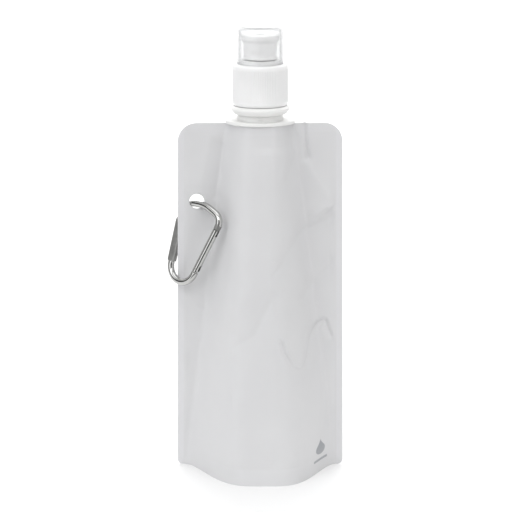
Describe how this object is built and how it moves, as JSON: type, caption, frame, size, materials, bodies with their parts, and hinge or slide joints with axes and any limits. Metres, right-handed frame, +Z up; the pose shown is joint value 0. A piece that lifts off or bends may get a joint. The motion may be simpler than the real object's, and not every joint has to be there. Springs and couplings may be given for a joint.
{
  "type": "folding water bottle",
  "caption": "Soft stand-up pouch water bottle with a spout, screw cap, push-pull mouthpiece, clear dust cap and a carabiner through its side weld.",
  "frame": {"origin": "on the ground at the middle of the pouch's foot, under the spout's axis", "axes": "+Z up along the spout's axis, +X to the right of the front panel, the front panel faces -Y"},
  "size_m": [0.0974, 0.072, 0.2445],
  "materials": {
    "film": "frosted translucent laminated film, satin, softly creased",
    "spout_plastic": "natural white polyethylene, satin",
    "liner_foam": "matte foam",
    "cap_plastic": "white polypropylene, satin",
    "clear_plastic": "clear polystyrene, polished",
    "plated_metal": "bright nickel look, polished, with a matte pressed spine",
    "spring_steel": "drawn wire"
  },
  "bodies": {
    "pouch": {"front_panel": "film", "rear_panel": "film", "bottom_gusset": "film", "spout_fitment": "spout_plastic"},
    "liner": {"cap_liner": "liner_foam"},
    "cap": {"screw_cap": "cap_plastic"},
    "mouthpiece": {"mouthpiece": "cap_plastic"},
    "dust_cap": {"dust_cap": "clear_plastic"},
    "carabiner": {"carabiner_body": "plated_metal"},
    "gate": {"carabiner_gate": "plated_metal", "gate_hinge_pin": "plated_metal", "gate_spring": "spring_steel"},
    "plunger": {"gate_plunger": "spring_steel"}
  },
  "joints": [
    {"name": "cap_lift", "type": "slide", "parent": "pouch", "child": "liner", "axis": [0, 0, 1], "range_m": [0, 0.021]},
    {"name": "cap_turn", "type": "hinge", "parent": "liner", "child": "cap", "pos_m": [0, 0, 0.2145], "axis": [0, 0, 1], "range_deg": [0, 1800]},
    {"name": "mouthpiece_pull", "type": "slide", "parent": "cap", "child": "mouthpiece", "axis": [0, 0, 1], "range_m": [0, 0.005]},
    {"name": "dust_cap_pull", "type": "slide", "parent": "mouthpiece", "child": "dust_cap", "axis": [0, 0, 1], "range_m": [0, 0.03]},
    {"name": "carabiner_swing", "type": "hinge", "parent": "pouch", "child": "carabiner", "pos_m": [-0.0344, 0, 0.1506], "axis": [0, 1, 0], "range_deg": [0, 75]},
    {"name": "gate_swing", "type": "hinge", "parent": "carabiner", "child": "gate", "pos_m": [-0.03436, -0.00965, 0.11528], "axis": [-0.6074, -0.765, 0.2141], "range_deg": [0, 28], "stiffness_Nm_per_rad": 0.08, "springref_deg": -17.19},
    {"name": "plunger_slide", "type": "slide", "parent": "gate", "child": "plunger", "axis": [0.4393, -0.099, 0.8929], "range_m": [0, 0.0006], "stiffness_N_per_m": 200, "springref_m": -0.0005}
  ],
  "couplings": [
    {"joint": "cap_lift", "follows": "cap_turn", "m_per_rad": 0.00066845}
  ]
}
